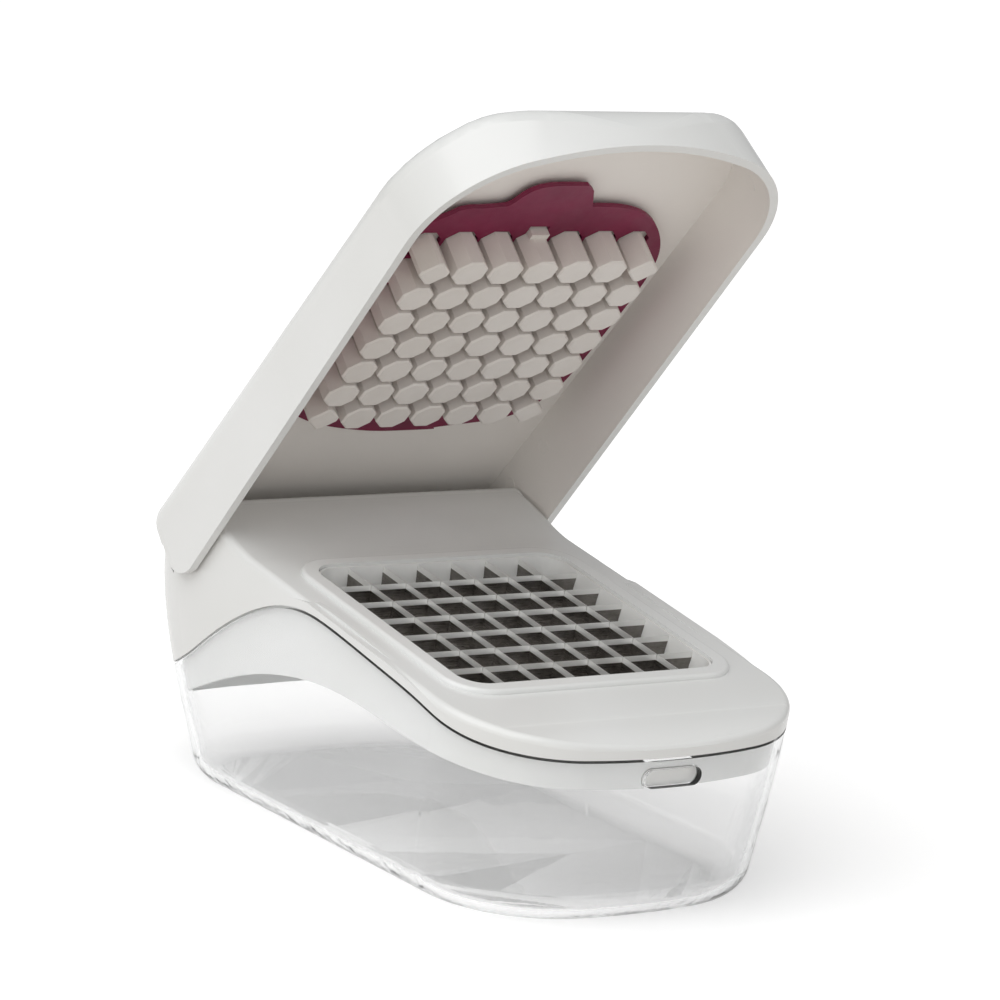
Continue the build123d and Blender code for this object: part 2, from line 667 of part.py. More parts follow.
with BuildPart() as pusher_block:
    with BuildSketch(CEILING.offset(-PLATE_T)):
        rounded_square(PITCH * POSTS / 2 + 2, 8)
    extrude(amount=PLATE_T)
    add(posts(plain_spots, POST_W, POST_CHAMFER))
    add(posts(corner_spots, POST_W - 0.6, POST_CHAMFER + 1.0))
    with BuildSketch(CEILING.offset(-PLATE_T - INSERT_T - 2.2)):
        with Locations((0, rows[0] - POST_W / 2 - 0.4)):
            Rectangle(NUB_W, 2.0)
    extrude(amount=2.2 + INSERT_T + 0.5)
    with BuildSketch(CEILING):
        Rectangle(2 * ACROSS, 2 * ACROSS)
    extrude(amount=POST_RAW, mode=Mode.SUBTRACT)

with BuildPart() as cleaning_insert:
    with BuildSketch(CEILING.offset(-PLATE_T - 0.1)):
        with BuildLine():
            Spline(INSERT_RIGHT, tangents=[(1, 0), (-1, 0)])
            Spline(INSERT_LEFT, tangents=[(-1, 0), (1, 0)])
            Line(INSERT_LEFT[-1], INSERT_TAB[0])
            Spline(INSERT_TAB, tangents=[(1, -0.2), (1, 0)])
            Polyline(INSERT_TAB[-1], (9.4, -60.0), INSERT_RIGHT[0])
        make_face()
        with Locations(*plain_spots):
            post_outline(POST_W + 2 * INSERT_GAP, POST_CHAMFER, Mode.SUBTRACT)
        with Locations(*corner_spots):
            post_outline(POST_W + 2 * INSERT_GAP - 0.6, POST_CHAMFER, Mode.SUBTRACT)
        with Locations((0, rows[0] - POST_W / 2 - 0.9)):
            Rectangle(NUB_W + 0.8, 3.4, mode=Mode.SUBTRACT)
    extrude(amount=-INSERT_T)

# ---------------------------------------------------------------- write
pieces = {
    "container": container.part,
    "housing": housing.part,
    "catch_tongue": catch_tongue.part,
    "blade_frame": blade_frame.part,
    "blade_retainer": blade_retainer.part,
    "retainer_screws": retainer_screws.part,
    "lid_shell": lid_shell.part,
    "pusher_block": pusher_block.part,
    "cleaning_insert": cleaning_insert.part,
    **blades,
    **hinge_parts,
}
for name, piece in pieces.items():
    piece.label = name
    export_step(piece, f"parts/{name}.step")
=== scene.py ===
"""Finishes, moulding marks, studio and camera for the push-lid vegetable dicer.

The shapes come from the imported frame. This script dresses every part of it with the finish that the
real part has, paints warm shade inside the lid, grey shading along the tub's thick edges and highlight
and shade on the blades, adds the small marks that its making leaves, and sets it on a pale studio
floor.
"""

import logging
import math
from dataclasses import dataclass, field
from enum import Enum

import bmesh
import bpy
from mathutils import Matrix, Vector
from mathutils.bvhtree import BVHTree


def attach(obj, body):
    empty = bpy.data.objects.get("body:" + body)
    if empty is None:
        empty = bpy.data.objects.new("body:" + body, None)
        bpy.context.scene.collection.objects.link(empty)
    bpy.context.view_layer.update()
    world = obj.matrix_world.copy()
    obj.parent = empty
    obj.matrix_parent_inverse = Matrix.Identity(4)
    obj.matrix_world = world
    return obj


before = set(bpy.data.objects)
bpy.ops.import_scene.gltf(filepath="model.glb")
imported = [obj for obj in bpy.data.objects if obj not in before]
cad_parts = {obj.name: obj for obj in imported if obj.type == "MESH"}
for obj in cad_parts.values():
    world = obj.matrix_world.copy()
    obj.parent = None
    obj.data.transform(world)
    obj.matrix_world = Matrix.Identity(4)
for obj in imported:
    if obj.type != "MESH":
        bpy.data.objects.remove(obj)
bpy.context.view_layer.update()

log = logging.getLogger("dicer")

MM = 0.001
DECK_SLOPE = math.radians(9.0)
LID_ANGLE = math.radians(-45.7)
DECK_ORIGIN = Vector((0.0, -8.0, 67.0)) * MM
HINGE_ALONG_DECK = 86.2
HINGE_OVER_DECK = -3.0
BLADE_BEVEL = 1.6


class Run(Enum):
    """Which way a blade of the grid lies."""

    LONG = "long"
    CROSS = "cross"


@dataclass(frozen=True)
class Axes:
    """A right-handed set of axes with its origin, in metres.

    Attributes:
        origin: Where the axes start.
        x: Direction of the first axis.
        y: Direction of the second axis.
        z: Direction of the third axis.
    """

    origin: Vector
    x: Vector
    y: Vector
    z: Vector

    def point(self, x: float, y: float, z: float) -> Vector:
        """Gives the place of a point whose coordinates are in millimetres along these axes.

        Args:
            x: Millimetres along the first axis.
            y: Millimetres along the second axis.
            z: Millimetres along the third axis.

        Returns:
            The point in metres in the shared frame.
        """
        return self.origin + (self.x * x + self.y * y + self.z * z) * MM


def sloped_axes(origin: Vector, angle: float) -> Axes:
    """Gives axes that share the frame's X and are turned about it.

    Args:
        origin: Where the axes start, in metres.
        angle: Turn about X in radians.

    Returns:
        The turned axes.
    """
    along = Vector((0.0, math.cos(angle), math.sin(angle)))
    over = Vector((0.0, -math.sin(angle), math.cos(angle)))
    return Axes(origin, Vector((1.0, 0.0, 0.0)), along, over)


DECK = sloped_axes(DECK_ORIGIN, DECK_SLOPE)
HINGE = sloped_axes(DECK.point(0.0, HINGE_ALONG_DECK, HINGE_OVER_DECK), LID_ANGLE)
LID = sloped_axes(HINGE.point(0.0, -HINGE_ALONG_DECK, -HINGE_OVER_DECK), LID_ANGLE)


def linear(hex_colour: str) -> tuple[float, float, float, float]:
    """Turns an sRGB hex colour into the linear colour that shaders take.

    Args:
        hex_colour: Six hex digits after a number sign.

    Returns:
        Red, green, blue and an alpha of one.
    """
    values = [int(hex_colour[i : i + 2], 16) / 255 for i in (1, 3, 5)]
    made = [v / 12.92 if v <= 0.04045 else ((v + 0.055) / 1.055) ** 2.4 for v in values]
    return (made[0], made[1], made[2], 1.0)


def per_mm(size: float) -> float:
    """Gives the texture scale at which a pattern's features have a given size.

    Args:
        size: Width of one feature in millimetres.

    Returns:
        The scale for coordinates in metres.
    """
    return 1.0 / (size * MM)


def add_node(
    tree: bpy.types.NodeTree,
    kind: str,
    settings: dict[str, object] | None = None,
    inputs: dict[str | int, object] | None = None,
) -> bpy.types.Node:
    """Adds a node with its settings and links.

    Args:
        tree: The node tree to add to.
        kind: The node's type without its "ShaderNode" beginning.
        settings: Values for the node's own properties.
        inputs: A value or another node's output socket for each named or numbered input.

    Returns:
        The new node.
    """
    node = tree.nodes.new("ShaderNode" + kind)
    for name, value in (settings or {}).items():
        setattr(node, name, value)
    for name, value in (inputs or {}).items():
        if isinstance(value, bpy.types.NodeSocket):
            tree.links.new(value, node.inputs[name])
        else:
            node.inputs[name].default_value = value
    return node


def new_material(name: str) -> tuple[bpy.types.Material, bpy.types.NodeTree]:
    """Makes an empty node material.

    Args:
        name: The material's name.

    Returns:
        The material and its cleared node tree.
    """
    material = bpy.data.materials.new(name)
    material.use_nodes = True
    material.node_tree.nodes.clear()
    return material, material.node_tree


def blend_colours(
    tree: bpy.types.NodeTree, factor: bpy.types.NodeSocket, low: str, high: str
) -> bpy.types.NodeSocket:
    """Mixes two hex colours by a factor.

    Args:
        tree: The node tree to add to.
        factor: The socket that gives the share of the second colour.
        low: Colour at zero.
        high: Colour at one.

    Returns:
        The mixed colour's socket.
    """
    mix = add_node(tree, "Mix", {"data_type": "RGBA"}, {0: factor, 6: linear(low), 7: linear(high)})
    return mix.outputs[2]


def spread(
    tree: bpy.types.NodeTree,
    value: bpy.types.NodeSocket,
    low: float,
    high: float,
    from_low: float = 0.3,
    from_high: float = 0.7,
) -> bpy.types.NodeSocket:
    """Maps a pattern's values onto a range, clamped at both ends.

    Args:
        tree: The node tree to add to.
        value: The pattern's socket.
        low: Result at from_low.
        high: Result at from_high.
        from_low: Pattern value that gives low.
        from_high: Pattern value that gives high.

    Returns:
        The mapped value's socket.
    """
    ends = {1: from_low, 2: from_high, 3: low, 4: high}
    return add_node(tree, "MapRange", {"clamp": True}, {0: value, **ends}).outputs[0]


def object_coordinates(tree: bpy.types.NodeTree) -> bpy.types.NodeSocket:
    """Adds the piece's own coordinates.

    Args:
        tree: The node tree to add to.

    Returns:
        The coordinates' socket, in metres.
    """
    return add_node(tree, "TexCoord").outputs["Object"]


def noise(
    tree: bpy.types.NodeTree,
    where: bpy.types.NodeSocket,
    size: float,
    detail: float = 2.0,
    roughness: float = 0.5,
) -> bpy.types.NodeSocket:
    """Adds a noise pattern.

    Args:
        tree: The node tree to add to.
        where: Coordinates in metres.
        size: Width of one feature in millimetres.
        detail: Octaves of finer noise on it.
        roughness: Share that the finer octaves have.

    Returns:
        The pattern's value socket.
    """
    inputs = {"Vector": where, "Scale": per_mm(size), "Detail": detail, "Roughness": roughness}
    return add_node(tree, "TexNoise", {}, inputs).outputs["Fac"]


def stretched(
    tree: bpy.types.NodeTree,
    where: bpy.types.NodeSocket,
    axes: Axes,
    scale: tuple[float, float, float],
) -> bpy.types.NodeSocket:
    """Gives coordinates along a set of axes, each with its own stretch.

    Args:
        tree: The node tree to add to.
        where: Coordinates in metres.
        axes: The axes to measure along.
        scale: How much faster the pattern changes along each axis.

    Returns:
        The stretched coordinates' socket.
    """
    centred = add_node(tree, "VectorMath", {"operation": "SUBTRACT"}, {0: where, 1: axes.origin})
    along = [
        add_node(
            tree, "VectorMath", {"operation": "DOT_PRODUCT"}, {0: centred.outputs[0], 1: axis * factor}
        ).outputs["Value"]
        for axis, factor in zip((axes.x, axes.y, axes.z), scale)
    ]
    return add_node(tree, "CombineXYZ", {}, {0: along[0], 1: along[1], 2: along[2]}).outputs[0]


def finish_surface(tree: bpy.types.NodeTree, shader: bpy.types.NodeSocket) -> None:
    """Links a shader to the material's output.

    Args:
        tree: The material's node tree.
        shader: The shader's socket.
    """
    add_node(tree, "OutputMaterial", {}, {"Surface": shader})


@dataclass(frozen=True)
class PolishedAbs:
    """Acrylonitrile-butadiene-styrene moulded in a polished steel tool.

    The eye gets an even, slightly cool white with long soft reflections. Flow of the melt leaves a very
    shallow waviness, and handling leaves faint dull smears.

    Attributes:
        name: The material's name.
        colour: Colour of the resin.
        drift: Colour where the resin is a touch deeper.
        gloss: Roughness of untouched skin.
        smeared: Roughness where it is handled.
        patch: Width of the patches of deeper resin in millimetres.
        smear: Width of one smear in millimetres.
        wave: Width of the melt's waviness in millimetres.
        wave_depth: Depth of that waviness in millimetres.
        ior: How strongly the resin bends light.
        inner_centre: Middle of a hollow shell in metres. Faces that look towards it take the texture of
            the spark-eroded core of the tool. None where both sides are polished.
        inner_warm_shade_colour: Colour of the eroded side, a painted warm shade: it is warmer than the
            resin so that the inside of the lid holds warm shade and casts it on the deck.
        inner_rough: Roughness of the eroded side.
        inner_grain: Width of one grain of the eroded side in millimetres.
        inner_depth: Depth of that grain in millimetres.
        turn: How near to the middle's level the change from one side to the other is, in millimetres.
    """

    name: str
    colour: str = "#E8E9E8"
    drift: str = "#E4E5E3"
    gloss: float = 0.2
    smeared: float = 0.27
    patch: float = 46.0
    smear: float = 24.0
    wave: float = 14.0
    wave_depth: float = 0.006
    ior: float = 1.54
    inner_centre: Vector | None = None
    inner_warm_shade_colour: str = "#F0ECE7"
    inner_rough: float = 0.5
    inner_grain: float = 0.45
    inner_depth: float = 0.035
    turn: float = 0.6

    def build(self) -> bpy.types.Material:
        """Makes the material.

        Returns:
            The finished material.
        """
        material, tree = new_material(self.name)
        coordinates = add_node(tree, "TexCoord")
        where = coordinates.outputs["Object"]
        patches = noise(tree, where, self.patch, 1.0)
        colour = blend_colours(tree, spread(tree, patches, 0.0, 1.0), self.colour, self.drift)
        smears = noise(tree, where, self.smear, 3.0, 0.5)
        rough = spread(tree, smears, self.gloss, self.smeared, 0.35, 0.75)
        wave = noise(tree, where, self.wave, 1.0)
        bump = add_node(
            tree, "Bump", {}, {"Strength": 1.0, "Distance": self.wave_depth * MM, "Height": wave}
        ).outputs[0]
        if self.inner_centre is not None:
            inward = self.inward(tree, coordinates)
            texture = noise(tree, where, self.inner_grain, 2.0, 0.7)
            grained = add_node(
                tree,
                "Bump",
                {},
                {
                    "Strength": 0.8,
                    "Distance": self.inner_depth * MM,
                    "Height": texture,
                    "Normal": bump,
                },
            ).outputs[0]
            # painted warm shade: faces inside the lid take the warmer inner colour
            colour = add_node(
                tree, "Mix", {"data_type": "RGBA"}, {0: inward, 6: colour, 7: linear(self.inner_warm_shade_colour)}
            ).outputs[2]
            rough = add_node(tree, "Mix", {}, {0: inward, 2: rough, 3: self.inner_rough}).outputs[0]
            bump = add_node(
                tree, "Mix", {"data_type": "VECTOR"}, {0: inward, 4: bump, 5: grained}
            ).outputs[1]
        shader = add_node(
            tree,
            "BsdfPrincipled",
            {},
            {"Base Color": colour, "Roughness": rough, "IOR": self.ior, "Normal": bump},
        )
        finish_surface(tree, shader.outputs[0])
        return material

    def inward(self, tree: bpy.types.NodeTree, coordinates: bpy.types.Node) -> bpy.types.NodeSocket:
        """Tells faces that look towards the shell's middle from those that look away.

        Args:
            tree: The node tree to add to.
            coordinates: The texture coordinate node.

        Returns:
            A socket that is one on the inner side and zero on the outer side.
        """
        out = add_node(
            tree, "VectorMath", {"operation": "SUBTRACT"},
            {0: coordinates.outputs["Object"], 1: self.inner_centre},
        )
        facing = add_node(
            tree, "VectorMath", {"operation": "DOT_PRODUCT"},
            {0: out.outputs[0], 1: coordinates.outputs["Normal"]},
        ).outputs["Value"]
        return spread(tree, facing, 1.0, 0.0, -self.turn * MM, self.turn * MM)


@dataclass(frozen=True)
class MattPolypropylene:
    """Polypropylene moulded against a textured tool.

    The eye gets a soft waxy skin without sharp reflections and a fine even grain.

    Attributes:
        name: The material's name.
        colour: Colour of the resin.
        drift: Colour where it is a touch deeper.
        roughness: Mean roughness.
        grain: Width of one grain of the texture in millimetres.
        grain_depth: Depth of the texture in millimetres.
        patch: Width of the patches of deeper colour in millimetres.
        rub: Width of one rubbed spot in millimetres.
        ior: How strongly the resin bends light.
    """

    name: str
    colour: str
    drift: str
    roughness: float = 0.46
    grain: float = 0.5
    grain_depth: float = 0.025
    patch: float = 21.0
    rub: float = 6.0
    ior: float = 1.49

    def build(self) -> bpy.types.Material:
        """Makes the material.

        Returns:
            The finished material.
        """
        material, tree = new_material(self.name)
        where = object_coordinates(tree)
        patches = noise(tree, where, self.patch, 4.0, 0.6)
        colour = blend_colours(tree, spread(tree, patches, 0.0, 1.0), self.colour, self.drift)
        rubbed = noise(tree, where, self.rub, 5.0, 0.65)
        rough = spread(tree, rubbed, self.roughness - 0.06, self.roughness + 0.08)
        grain = noise(tree, where, self.grain, 2.0, 0.6)
        bump = add_node(
            tree, "Bump", {}, {"Strength": 0.9, "Distance": self.grain_depth * MM, "Height": grain}
        )
        shader = add_node(
            tree,
            "BsdfPrincipled",
            {},
            {"Base Color": colour, "Roughness": rough, "IOR": self.ior, "Normal": bump.outputs[0]},
        )
        finish_surface(tree, shader.outputs[0])
        return material


@dataclass(frozen=True)
class ClearSan:
    """Styrene-acrylonitrile moulded clear in a polished tool.

    The eye looks through it. The wall is painted grey where it is looked along, a painted shading of
    the thick edges, and the wall gives a thin bright reflection with the slight unevenness of a moulded
    wall.

    Attributes:
        name: The material's name.
        tint: Colour that light keeps on its way through.
        edge: Colour that it keeps where the wall is looked along, a painted grey shading of the thick
            edges.
        gloss: Roughness of the polished wall.
        rubbed: Roughness where the dishwasher and stacking have dulled it.
        rub: Width of one rubbed spot in millimetres.
        flow: Width of the wall's unevenness in millimetres.
        flow_depth: Depth of that unevenness in millimetres.
        ior: How strongly the resin bends light.
        matt_share: Share of the light between matt surfaces that passes straight through.
    """

    name: str
    tint: str = "#FCFCFC"
    edge: str = "#BCBFC0"
    gloss: float = 0.02
    rubbed: float = 0.06
    rub: float = 9.0
    flow: float = 16.0
    flow_depth: float = 0.03
    ior: float = 1.57
    matt_share: float = 0.4

    def build(self) -> bpy.types.Material:
        """Makes the material.

        Returns:
            The finished material.
        """
        material, tree = new_material(self.name)
        where = object_coordinates(tree)
        dulled = noise(tree, where, self.rub, 6.0, 0.7)
        rough = spread(tree, dulled, self.gloss, self.rubbed, 0.5, 0.8)
        uneven = noise(tree, where, self.flow, 2.0)
        bump = add_node(
            tree, "Bump", {}, {"Strength": 1.0, "Distance": self.flow_depth * MM, "Height": uneven}
        )
        # painted shading: the tint turns grey where the wall is seen at a grazing angle
        painted_edge_shade = add_node(tree, "LayerWeight", {}, {"Blend": 0.35}).outputs["Facing"]
        depth = blend_colours(tree, spread(tree, painted_edge_shade, 0.0, 1.0, 0.35, 0.95), self.tint, self.edge)
        glass = add_node(
            tree,
            "BsdfPrincipled",
            {},
            {
                "Base Color": depth,
                "Roughness": rough,
                "IOR": self.ior,
                "Transmission Weight": 1.0,
                "Normal": bump.outputs[0],
            },
        )
        # lamps and the light of matt surfaces shine through the thin wall
        passed = add_node(tree, "BsdfTransparent", {}, {"Color": linear(self.tint)})
        path = add_node(tree, "LightPath")
        lit = add_node(
            tree,
            "Math",
            {"operation": "MULTIPLY_ADD"},
            {0: path.outputs["Is Diffuse Ray"], 1: self.matt_share, 2: path.outputs["Is Shadow Ray"]},
        )
        mixed = add_node(
            tree, "MixShader", {}, {0: lit.outputs[0], 1: glass.outputs[0], 2: passed.outputs[0]}
        )
        finish_surface(tree, mixed.outputs[0])
        return material


@dataclass(frozen=True)
class GroundSteel:
    """Cold-rolled stainless strip with a ground cutting bevel.

    The eye gets a grey sheen with fine lines along the strip, and a bevel whose grinding lines run
    across the edge. The strip is painted a darker grey, a painted shade of the blade faces down in the
    grid, and the bevel near white, a painted highlight of the light that the bevels catch.

    Attributes:
        name: The material's name.
        run: Which way the blade lies.
        flat: Colour of the strip, darkened as a painted shade.
        stain: Colour of the strip where washing has dulled it.
        bevel: Colour of the ground bevel, near white as a painted highlight.
        flat_rough: Mean roughness of the rolled strip.
        bevel_rough: Mean roughness of the ground bevel.
        line: Spacing of the rolling and grinding lines in millimetres, before they are drawn out.
        drawn: How much finer the lines are across than along.
        line_depth: Depth of a line in millimetres.
        stain_size: Width of one dulled spot in millimetres.
        bevel_turn: Width of the change from flat to bevel in millimetres.
    """

    name: str
    run: Run
    flat: str = "#8F8C88"
    stain: str = "#75716C"
    bevel: str = "#F2F2F0"
    flat_rough: float = 0.3
    bevel_rough: float = 0.46
    line: float = 9.0
    drawn: float = 60.0
    line_depth: float = 0.01
    stain_size: float = 5.0
    bevel_turn: float = 0.1

    def build(self) -> bpy.types.Material:
        """Makes the material.

        Returns:
            The finished material.
        """
        material, tree = new_material(self.name)
        where = object_coordinates(tree)
        is_cross = self.run is Run.CROSS
        rolling = (1.0, self.drawn, self.drawn) if is_cross else (self.drawn, 1.0, self.drawn)
        grinding = (self.drawn, 1.0, 1.0) if is_cross else (1.0, self.drawn, 1.0)
        rolled = noise(tree, stretched(tree, where, DECK, rolling), self.line, 4.0, 0.7)
        ground = noise(tree, stretched(tree, where, DECK, grinding), self.line, 2.0, 0.7)
        from_deck = add_node(tree, "VectorMath", {"operation": "SUBTRACT"}, {0: where, 1: DECK.origin})
        height = add_node(
            tree, "VectorMath", {"operation": "DOT_PRODUCT"}, {0: from_deck.outputs[0], 1: DECK.z}
        ).outputs["Value"]
        turn = self.bevel_turn / 2
        on_bevel = spread(
            tree, height, 0.0, 1.0, (-BLADE_BEVEL - turn) * MM, (-BLADE_BEVEL + turn) * MM
        )
        stains = noise(tree, where, self.stain_size, 4.0, 0.6)
        flat = blend_colours(tree, spread(tree, stains, 0.0, 1.0), self.flat, self.stain)
        # painted highlight on the bevel and painted shade on the strip, on top of the real stains
        colour = add_node(
            tree, "Mix", {"data_type": "RGBA"}, {0: on_bevel, 6: flat, 7: linear(self.bevel)}
        ).outputs[2]
        lines = add_node(tree, "Mix", {}, {0: on_bevel, 2: rolled, 3: ground}).outputs[0]
        mean = add_node(
            tree, "Mix", {}, {0: on_bevel, 2: self.flat_rough, 3: self.bevel_rough}
        ).outputs[0]
        rough = add_node(
            tree, "Math", {"operation": "ADD"}, {0: mean, 1: spread(tree, lines, -0.08, 0.08)}
        ).outputs[0]
        bump = add_node(
            tree, "Bump", {}, {"Strength": 0.6, "Distance": self.line_depth * MM, "Height": lines}
        )
        shader = add_node(
            tree,
            "BsdfPrincipled",
            {},
            {"Base Color": colour, "Metallic": 1.0, "Roughness": rough, "Normal": bump.outputs[0]},
        )
        finish_surface(tree, shader.outputs[0])
        return material


@dataclass(frozen=True)
class TurnedSteel:
    """Stainless wire, cut and turned or cold-headed.

    The eye gets a bright grey with fine rings and small bruises from tumbling.

    Attributes:
        name: The material's name.
        colour: Colour of the metal.
        bruised: Colour in its bruises.
        bruise: Width of one bruise in millimetres.
        ring: Spacing of the turning rings in millimetres.
        ring_depth: Depth of a ring in millimetres.
    """

    name: str
    colour: str = "#C4C5C6"
    bruised: str = "#A4A4A3"
    bruise: float = 0.8
    ring: float = 0.25
    ring_depth: float = 0.02

    def build(self) -> bpy.types.Material:
        """Makes the material.

        Returns:
            The finished material.
        """
        material, tree = new_material(self.name)
        where = object_coordinates(tree)
        bruises = noise(tree, where, self.bruise, 3.0, 0.6)
        in_bruise = spread(tree, bruises, 0.0, 1.0, 0.55, 0.75)
        colour = blend_colours(tree, in_bruise, self.colour, self.bruised)
        rings = noise(tree, where, self.ring, 1.0)
        bump = add_node(
            tree, "Bump", {}, {"Strength": 0.5, "Distance": self.ring_depth * MM, "Height": rings}
        )
        shader = add_node(
            tree,
            "BsdfPrincipled",
            {},
            {
                "Base Color": colour,
                "Metallic": 1.0,
                "Roughness": spread(tree, bruises, 0.24, 0.4),
                "Normal": bump.outputs[0],
            },
        )
        finish_surface(tree, shader.outputs[0])
        return material


@dataclass(frozen=True)
class PinMark:
    """The ring that an ejector pin of the moulding tool leaves on an inner face.

    Attributes:
        radius: Radius of the pin in millimetres.
        lip: Width of the ring's lip in millimetres.
        height: Height of the lip over the face in millimetres.
        sink: How deep the ring's middle is set into the face, in millimetres.
        segments: Sides of the ring.
    """

    radius: float = 2.4
    lip: float = 0.45
    height: float = 0.16
    sink: float = 0.05
    segments: int = 32

    def mesh_at(self, bm: bmesh.types.BMesh, place: Vector, normal: Vector) -> None:
        """Adds one ring to a mesh.

        Args:
            bm: The mesh to add to.
            place: Middle of the mark on the face, in metres.
            normal: Direction that the face looks in.
        """
        turn = normal.to_track_quat("Z", "Y").to_matrix().to_4x4()
        seat = Matrix.Translation(place - normal * self.sink * MM) @ turn
        made = bmesh.ops.create_cone(
            bm,
            cap_ends=True,
            segments=self.segments,
            radius1=self.radius * MM,
            radius2=self.radius * MM,
            depth=2 * self.height * MM,
            matrix=seat,
        )
        tops = {f for v in made["verts"] for f in v.link_faces if f.normal.dot(normal) > 0.9}
        bmesh.ops.inset_region(bm, faces=list(tops), thickness=self.lip * MM, use_even_offset=True)
        inner = [f for f in tops if f.is_valid]
        bmesh.ops.translate(
            bm, verts=list({v for f in inner for v in f.verts}), vec=-normal * 0.8 * self.height * MM
        )


def face_towards(node: str, start: Vector, direction: Vector) -> tuple[Vector, Vector]:
    """Finds where a line from a point first meets a part.

    Args:
        node: The part's name.
        start: Where the line starts, in metres.
        direction: Which way it goes.

    Returns:
        The place where it meets the part, and the normal there.
    """
    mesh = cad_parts[node].data
    faces = [list(p.vertices) for p in mesh.polygons]
    tree = BVHTree.FromPolygons([v.co for v in mesh.vertices], faces)
    place, normal, _, _ = tree.ray_cast(start, direction)
    return place, normal


def add_piece(
    name: str, bm: bmesh.types.BMesh, material: bpy.types.Material, body: str
) -> None:
    """Turns a mesh into a piece that rides on a body.

    Args:
        name: The piece's name.
        bm: The mesh, which is freed.
        material: Its finish.
        body: The body that it moves with.
    """
    bmesh.ops.recalc_face_normals(bm, faces=bm.faces)
    mesh = bpy.data.meshes.new(name)
    bm.to_mesh(mesh)
    bm.free()
    mesh.materials.append(material)
    piece = bpy.data.objects.new(name, mesh)
    bpy.context.scene.collection.objects.link(piece)
    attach(piece, body)


def dress(node: str, material: bpy.types.Material) -> None:
    """Gives a part of the frame its finish.

    Args:
        node: The part's name.
        material: The finish.
    """
    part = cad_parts[node]
    part.data.materials.clear()
    part.data.materials.append(material)


@dataclass
class Tub:
    """The clear catch tub.

    Attributes:
        resin: Finish of the tub.
    """

    resin: ClearSan = field(default_factory=lambda: ClearSan("clear_moulded_san"))

    def build(self) -> list[str]:
        """Dresses the tub.

        Returns:
            Names of the pieces.
        """
        dress("container", self.resin.build())
        return ["container"]


@dataclass
class Housing:
    """The white housing with its blade cassette.

    Attributes:
        shell: Finish of the housing.
        cassette: Finish of the frame that holds the blades.
        blades: How many blades lie each way.
    """

    shell: PolishedAbs = field(default_factory=lambda: PolishedAbs("polished_white_abs"))
    cassette: MattPolypropylene = field(
        default_factory=lambda: MattPolypropylene("matt_white_polypropylene", "#E8E8E6", "#E2E2DF")
    )
    blades: int = 6

    def build(self) -> list[str]:
        """Dresses the housing and the cassette.

        Returns:
            Names of the pieces.
        """
        white = self.shell.build()
        frame_plastic = self.cassette.build()
        made = ["housing", "catch_tongue", "blade_frame", "blade_retainer", "retainer_screws"]
        dress("housing", white)
        dress("catch_tongue", white)
        dress("blade_frame", frame_plastic)
        dress("blade_retainer", frame_plastic)
        dress("retainer_screws", TurnedSteel("cold_headed_stainless").build())
        for run in Run:
            steel = GroundSteel(f"ground_stainless_strip_{run.value}", run).build()
            for number in range(1, self.blades + 1):
                dress(f"{run.value}_blade_{number}", steel)
                made.append(f"{run.value}_blade_{number}")
        return made


@dataclass
class Lid:
    """The pusher lid with its posts, hinge and cleaning insert.

    Attributes:
        pin_places: Where the ejector pins stood along the side walls, in millimetres.
        pin_height: How high they stood over the lid's mouth.
        shell: Finish of the lid, with a painted warm shade on its inner faces.
        posts: Finish of the posts, whose warm grey is a painted warm shade inside the lid.
        insert: Finish of the cleaning insert.
    """

    pin_places: tuple[float, ...] = (-72.0, 62.0, 84.0)
    pin_height: float = 5.0
    shell: PolishedAbs = field(
        default_factory=lambda: PolishedAbs(
            "polished_white_abs_with_eroded_core_and_painted_warm_shade", inner_centre=LID.point(0, 0, 4)
        )
    )
    posts: MattPolypropylene = field(
        default_factory=lambda: MattPolypropylene(
            # the warm grey colour is a painted warm shade inside the lid
            "matt_post_plastic_with_painted_warm_shade", "#E6E1DC", "#DFD9D3", roughness=0.42
        )
    )
    insert: MattPolypropylene = field(
        default_factory=lambda: MattPolypropylene(
            "plum_soft_polypropylene", "#7A083C", "#690633", roughness=0.5, grain=0.9
        )
    )

    def build(self) -> list[str]:
        """Dresses the lid's parts.

        Returns:
            Names of the pieces.
        """
        made = ["lid_shell", "lid_ejector_pin_marks", "pusher_block", "cleaning_insert"]
        white = self.shell.build()
        dress("lid_shell", white)
        add_piece("lid_ejector_pin_marks", self.pin_marks(), white, "lid")
        dress("pusher_block", self.posts.build())
        dress("cleaning_insert", self.insert.build())
        steel = TurnedSteel("turned_stainless_pin").build()
        acetal = MattPolypropylene("natural_acetal", "#E8E6E0", "#DFDCD4", roughness=0.36).build()
        for side in ("left", "right"):
            dress(f"hinge_pin_{side}", steel)
            dress(f"hinge_washer_{side}", acetal)
            made += [f"hinge_pin_{side}", f"hinge_washer_{side}"]
        return made

    def pin_marks(self) -> bmesh.types.BMesh:
        """Makes the rings that the ejector pins left inside the lid.

        Returns:
            One mesh with all the rings.
        """
        bm = bmesh.new()
        for along in self.pin_places:
            for side in (-1.0, 1.0):
                start = LID.point(0.0, along, self.pin_height)
                place, normal = face_towards("lid_shell", start, LID.x * side)
                PinMark().mesh_at(bm, place, normal)
        return bm


@dataclass(frozen=True)
class SoftBox:
    """One studio lamp behind a square of cloth.

    Attributes:
        name: The lamp's name.
        at: Where it hangs, in metres.
        aim: The point it faces, in metres.
        size: Side of the cloth in metres.
        power: Its power in watts.
    """

    name: str
    at: tuple[float, float, float]
    aim: tuple[float, float, float]
    size: float
    power: float

    def hang(self) -> None:
        """Adds the lamp to the scene."""
        data = bpy.data.lights.new(self.name, "AREA")
        data.shape = "SQUARE"
        data.size = self.size
        data.energy = self.power
        lamp = bpy.data.objects.new(self.name, data)
        lamp.location = self.at
        sight = Vector(self.aim) - Vector(self.at)
        lamp.rotation_euler = sight.to_track_quat("-Z", "Y").to_euler()
        bpy.context.scene.collection.objects.link(lamp)


